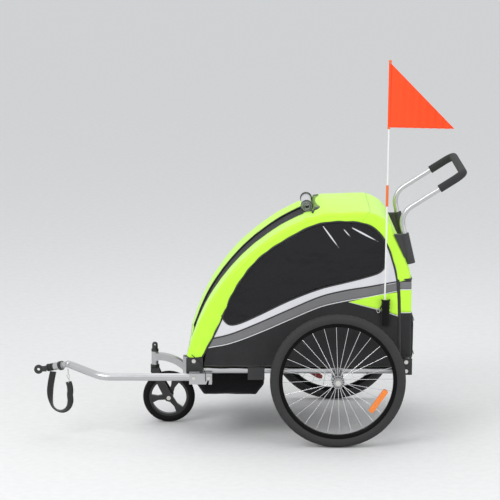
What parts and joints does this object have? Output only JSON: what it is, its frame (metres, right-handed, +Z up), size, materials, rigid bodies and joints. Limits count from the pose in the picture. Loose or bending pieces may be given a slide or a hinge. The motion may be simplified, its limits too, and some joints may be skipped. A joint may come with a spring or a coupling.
{
  "type": "child bicycle trailer",
  "caption": "Covered child bicycle trailer with a tow arm and hitch, a swivelling front caster wheel, side windows, a push handle and a safety flag",
  "frame": {"origin": "middle of the footprint, on the ground", "axes": "+X to the rear, towards the push handle; -X towards the tow hitch; +Y to the trailer's right; +Z up"},
  "size_m": [1.6138, 0.85, 1.4239],
  "materials": {
    "frame_aluminium": "satin anodised tube",
    "bracket_steel": "brushed zinc-plated plate",
    "fastener_steel": "bright plated steel",
    "black_plastic": "matte moulded plastic",
    "cabin_frame_cover": "matte dark grey moulding",
    "charcoal_fabric": "woven polyester, charcoal",
    "black_fabric": "woven polyester, black",
    "green_fabric": "coated woven polyester, lime green",
    "seat_fabric": "padded woven polyester, black",
    "mesh_fabric": "open insect mesh, black",
    "clear_vinyl": "clear flexible vinyl sheet",
    "rolled_vinyl": "rolled clear vinyl sheet",
    "black_webbing": "ribbed polypropylene webbing",
    "tyre_rubber": "matte tyre rubber",
    "rim_black": "gloss black anodised rim",
    "spoke_steel": "polished spokes",
    "hub_aluminium": "satin hub",
    "reflector_amber": "amber prismatic reflector",
    "caster_plastic": "matte moulded plastic wheel",
    "hitch_rubber": "ribbed black rubber",
    "foam_grip": "closed-cell foam",
    "pole_white": "white glass-fibre rod",
    "flag_orange": "fluorescent orange sheet",
    "fitting_orange": "orange moulded plastic"
  },
  "bodies": {
    "trailer_frame": {"left_side_rail": "frame_aluminium", "right_side_rail": "frame_aluminium", "floor_crossbars": "frame_aluminium", "axle_beam": "frame_aluminium", "corner_brackets": "black_plastic", "frame_bolts": "fastener_steel", "left_hoop": "frame_aluminium", "right_hoop": "frame_aluminium", "roof_crossbar": "frame_aluminium", "rear_top_crossbar": "frame_aluminium", "handle_sleeves": "cabin_frame_cover", "tow_bracket": "bracket_steel", "tow_pivot_bolt": "fastener_steel", "pin_tether": "black_webbing", "caster_bracket": "frame_aluminium", "caster_arm": "bracket_steel", "floor_panel": "black_fabric", "footwell": "black_fabric", "footwell_straps": "black_plastic", "seat_base": "seat_fabric", "seat_back": "seat_fabric", "harness": "black_webbing", "canopy_cover": "green_fabric", "front_mesh": "mesh_fabric", "left_side_panel": "charcoal_fabric", "right_side_panel": "charcoal_fabric", "left_window": "clear_vinyl", "right_window": "clear_vinyl", "rear_panel": "green_fabric", "rear_bag": "black_fabric", "rain_cover_roll": "rolled_vinyl", "flag_pocket": "black_webbing", "wheel_axles": "fastener_steel"},
    "flag_assembly": {"flag_pole": "pole_white", "flag_fittings": "fitting_orange", "flag": "flag_orange"},
    "left_wheel": {"left_tyre": "tyre_rubber", "left_rim": "rim_black", "left_spokes": "spoke_steel", "left_hub": "hub_aluminium", "left_reflector": "reflector_amber"},
    "right_wheel": {"right_tyre": "tyre_rubber", "right_rim": "rim_black", "right_spokes": "spoke_steel", "right_hub": "hub_aluminium", "right_reflector": "reflector_amber"},
    "caster_swivel": {"caster_fork": "caster_plastic", "caster_kingpin": "black_plastic", "caster_axle": "fastener_steel"},
    "caster_wheel": {"caster_rim": "caster_plastic", "caster_tyre": "tyre_rubber"},
    "tow_arm": {"tow_tube": "frame_aluminium", "tow_lock_pin": "fastener_steel", "hitch_coupler": "bracket_steel", "hitch_rubber": "hitch_rubber", "hitch_eye": "black_plastic"},
    "strap": {"safety_strap": "black_webbing"},
    "push_handle": {"handle_tube": "frame_aluminium", "handle_grip": "foam_grip"}
  },
  "joints": [
    {"name": "left_wheel_spin", "type": "hinge", "parent": "trailer_frame", "child": "left_wheel", "pos_m": [0.3305, -0.39, 0.25], "axis": [0, 1, 0], "continuous": true},
    {"name": "right_wheel_spin", "type": "hinge", "parent": "trailer_frame", "child": "right_wheel", "pos_m": [0.3305, 0.39, 0.25], "axis": [0, 1, 0], "continuous": true},
    {"name": "caster_turn", "type": "hinge", "parent": "trailer_frame", "child": "caster_swivel", "pos_m": [-0.3615, 0, 0.25], "axis": [0, 0, 1], "continuous": true},
    {"name": "caster_wheel_spin", "type": "hinge", "parent": "caster_swivel", "child": "caster_wheel", "pos_m": [-0.3085, 0, 0.1], "axis": [0, 1, 0], "continuous": true},
    {"name": "tow_arm_fold", "type": "hinge", "parent": "trailer_frame", "child": "tow_arm", "pos_m": [-0.2005, -0.3383, 0.252], "axis": [0, 1, 0], "range_deg": [0, 90]},
    {"name": "strap_hang", "type": "hinge", "parent": "tow_arm", "child": "strap", "pos_m": [-0.70589, -0.22784, 0.27001], "axis": [0, 1, 0], "range_deg": [-90, 0]},
    {"name": "handle_height", "type": "slide", "parent": "trailer_frame", "child": "push_handle", "axis": [-0.225, 0, 0.9744], "range_m": [0, 0.07]},
    {"name": "flag_lift", "type": "slide", "parent": "trailer_frame", "child": "flag_assembly", "axis": [0.0131, 0, 0.9999], "range_m": [0, 0.06]}
  ],
  "couplings": [
    {"joint": "strap_hang", "follows": "tow_arm_fold", "ratio": -1}
  ]
}
